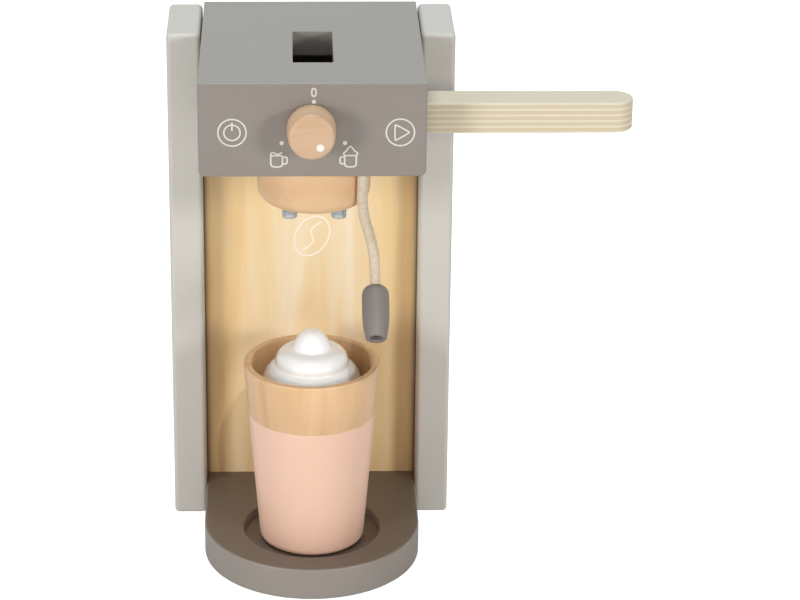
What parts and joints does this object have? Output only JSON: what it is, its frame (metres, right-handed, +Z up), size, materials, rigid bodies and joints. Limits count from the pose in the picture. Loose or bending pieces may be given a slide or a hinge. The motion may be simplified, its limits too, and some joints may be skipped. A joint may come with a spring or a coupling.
{
  "type": "toy coffee maker",
  "caption": "Wooden toy coffee maker: box head with pod slot, selector knob, side lever and rope-hung frother over a round-fronted base that holds a lift-off cup.",
  "frame": {"origin": "on the underside, midway between the side panels, in the plane of their front edges", "axes": "+X to the right as the user sees it, +Y away from the user, +Z up"},
  "size_m": [0.2213, 0.1554, 0.259],
  "materials": {
    "grey_paint": "painted warm light grey, satin",
    "taupe_paint": "painted taupe, satin",
    "pine": "natural light wood, satin varnish",
    "beech": "turned beech, satin varnish",
    "plywood": "light plywood with open plies",
    "zinc_steel": "zinc plated",
    "clear_plastic": "translucent, glossy",
    "cotton_rope": "twisted off-white cotton",
    "cup_finish": "pale pink paint below a natural beech rim",
    "white_lacquer": "white gloss lacquer"
  },
  "bodies": {
    "root": {"base_plate": "taupe_paint", "left_side_panel": "grey_paint", "right_side_panel": "grey_paint", "back_panel": "pine", "head_front_board": "taupe_paint", "head_top_board": "taupe_paint", "head_left_wall": "taupe_paint", "head_right_wall": "taupe_paint", "head_floor_board": "taupe_paint", "head_back_board": "taupe_paint", "back_board_screws": "zinc_steel", "base_dowels": "beech", "head_dowels": "beech", "cord_knot": "cotton_rope"},
    "knob": {"knob": "beech", "knob_washer": "zinc_steel", "knob_screw": "zinc_steel"},
    "lever": {"lever_handle": "plywood", "pivot_dowel": "beech", "lever_washer": "beech", "group_head": "beech", "left_spout": "clear_plastic", "right_spout": "clear_plastic"},
    "frother": {"frother_cord": "cotton_rope", "frother_nozzle": "taupe_paint"},
    "cup": {"cup": "cup_finish"},
    "cream": {"cream_top": "white_lacquer"}
  },
  "joints": [
    {"name": "knob_turn", "type": "hinge", "parent": "root", "child": "knob", "pos_m": [-0.0005, -0.077, 0.2378], "axis": [0, -1, 0], "continuous": true},
    {"name": "lever_swing", "type": "hinge", "parent": "root", "child": "lever", "pos_m": [0.001, -0.0454, 0.234], "axis": [0, 0, 1], "range_deg": [-12, 12]},
    {"name": "frother_swing", "type": "hinge", "parent": "root", "child": "frother", "pos_m": [0.0238, -0.0646, 0.2137], "axis": [-0.6441, -0.7649, 0], "range_deg": [0, 20]},
    {"name": "cup_lift", "type": "slide", "parent": "root", "child": "cup", "axis": [0, 0, 1], "range_m": [0, 0.03]},
    {"name": "cream_lift", "type": "slide", "parent": "cup", "child": "cream", "axis": [0, 0, 1], "range_m": [0, 0.024]}
  ]
}
